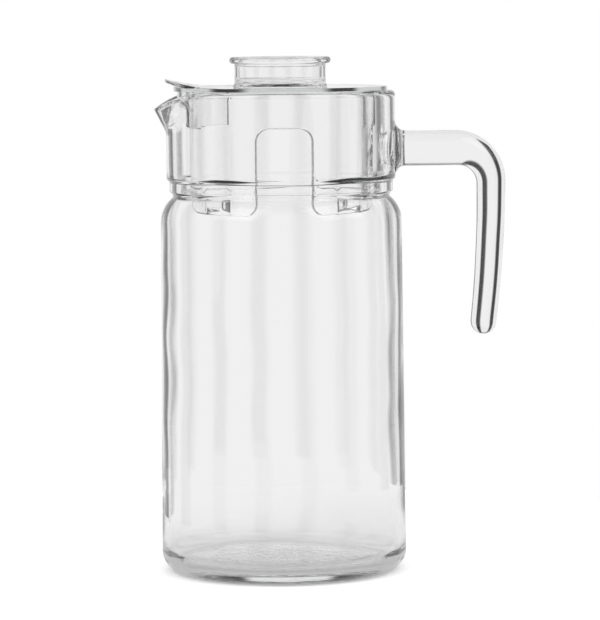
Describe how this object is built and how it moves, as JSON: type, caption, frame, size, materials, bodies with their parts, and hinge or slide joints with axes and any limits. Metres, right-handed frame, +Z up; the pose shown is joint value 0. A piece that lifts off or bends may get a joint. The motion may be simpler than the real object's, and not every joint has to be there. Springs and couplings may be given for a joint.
{
  "type": "glass jug",
  "caption": "Clear glass water jug with a V spout, an open hook handle and a clear lid with a cup knob that lifts off and turns.",
  "frame": {"origin": "centre of the standing ring, on the jug's axis", "axes": "+Z up along the jug's axis, -X towards the spout, +X towards the handle, -Y the pictured side"},
  "size_m": [0.1538, 0.1074, 0.2248],
  "materials": {
    "jug_glass": "clear polished glass, wavy inside",
    "handle_glass": "clear fire-polished glass",
    "lid_plastic": "clear moulded plastic",
    "knob_plastic": "clear moulded plastic"
  },
  "bodies": {
    "jug": {"glass_jug": "jug_glass", "glass_handle": "handle_glass"},
    "knob": {"lid_knob": "knob_plastic"},
    "lid": {"lid": "lid_plastic"}
  },
  "joints": [
    {"name": "lid_lift", "type": "slide", "parent": "jug", "child": "knob", "axis": [0, 0, 1], "range_m": [0, 0.08]},
    {"name": "lid_turn", "type": "hinge", "parent": "knob", "child": "lid", "pos_m": [0, 0, 0.211], "axis": [0, 0, 1], "continuous": true}
  ]
}
